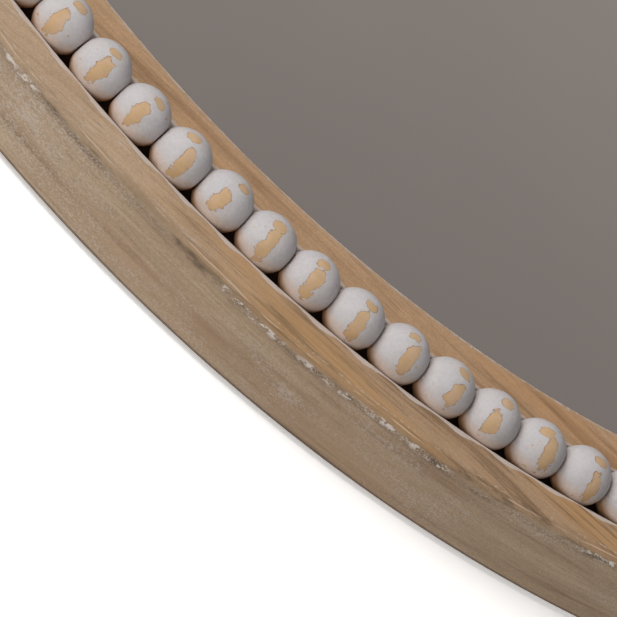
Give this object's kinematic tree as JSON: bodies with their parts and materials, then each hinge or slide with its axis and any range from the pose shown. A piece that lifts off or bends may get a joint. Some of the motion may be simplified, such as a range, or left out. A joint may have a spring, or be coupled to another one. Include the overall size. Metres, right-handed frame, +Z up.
{
  "type": "round wall mirror",
  "caption": "Round wall mirror in a double-hoop wooden frame with a row of painted wooden beads in the channel between the hoops, and hinged hanging rings on the back.",
  "frame": {"origin": "on the wall plane that the felt bumpers touch, on the axis of the round frame", "axes": "+Z up; the mirror faces -Y; +Y points into the wall; +X is to the right seen from the front"},
  "size_m": [0.814, 0.0423, 0.814],
  "materials": {
    "frame_wood": "weathered, with remains of a white wash, matt",
    "bead_paint": "chalky white paint sanded through to the wood",
    "mirror": "silvered float glass",
    "panel_board": "raw board",
    "spline_wood": "raw wood",
    "foam_tape": "double-sided foam tape",
    "screw_steel": "zinc plated",
    "hanger_zinc": "zinc plated",
    "felt": "brown felt"
  },
  "bodies": {
    "mirror_frame": {"outer_hoop_segment_1": "frame_wood", "outer_hoop_segment_2": "frame_wood", "outer_hoop_segment_3": "frame_wood", "outer_hoop_segment_4": "frame_wood", "outer_hoop_segment_5": "frame_wood", "outer_hoop_segment_6": "frame_wood", "inner_hoop_segment_1": "frame_wood", "inner_hoop_segment_2": "frame_wood", "inner_hoop_segment_3": "frame_wood", "inner_hoop_segment_4": "frame_wood", "inner_hoop_segment_5": "frame_wood", "inner_hoop_segment_6": "frame_wood", "hoop_spline_1": "spline_wood", "hoop_spline_2": "spline_wood", "hoop_spline_3": "spline_wood", "hoop_spline_4": "spline_wood", "hoop_spline_5": "spline_wood", "hoop_spline_6": "spline_wood", "mirror_tape_1": "foam_tape", "mirror_tape_2": "foam_tape", "mirror_tape_3": "foam_tape", "mirror_tape_4": "foam_tape", "bead_string_1": "bead_paint", "bead_string_2": "bead_paint", "bead_string_3": "bead_paint", "bead_string_4": "bead_paint", "bead_string_5": "bead_paint", "bead_string_6": "bead_paint", "bead_string_7": "bead_paint", "bead_string_8": "bead_paint", "wall_bumper_1": "felt", "wall_bumper_2": "felt", "wall_bumper_3": "felt", "wall_bumper_4": "felt", "panel_screw_01": "screw_steel", "panel_screw_02": "screw_steel", "panel_screw_03": "screw_steel", "panel_screw_04": "screw_steel", "panel_screw_05": "screw_steel", "panel_screw_06": "screw_steel", "panel_screw_07": "screw_steel", "panel_screw_08": "screw_steel", "panel_screw_09": "screw_steel", "panel_screw_10": "screw_steel", "panel_screw_11": "screw_steel", "panel_screw_12": "screw_steel", "hanger_screw_1": "screw_steel", "hanger_screw_2": "screw_steel", "hanger_screw_3": "screw_steel", "hanger_screw_4": "screw_steel", "hanger_strap_left": "hanger_zinc", "hanger_strap_right": "hanger_zinc", "back_panel": "panel_board", "mirror_glass": "mirror"},
    "ring_left": {"hanger_ring_left": "hanger_zinc"},
    "ring_right": {"hanger_ring_right": "hanger_zinc"}
  },
  "joints": [
    {"name": "ring_left_swing", "type": "hinge", "parent": "mirror_frame", "child": "ring_left", "pos_m": [-0.20074, -0.0095, 0.23924], "axis": [-1, 0, 0], "range_deg": [0, 185]},
    {"name": "ring_right_swing", "type": "hinge", "parent": "mirror_frame", "child": "ring_right", "pos_m": [0.20074, -0.0095, 0.23924], "axis": [-1, 0, 0], "range_deg": [0, 185]}
  ]
}
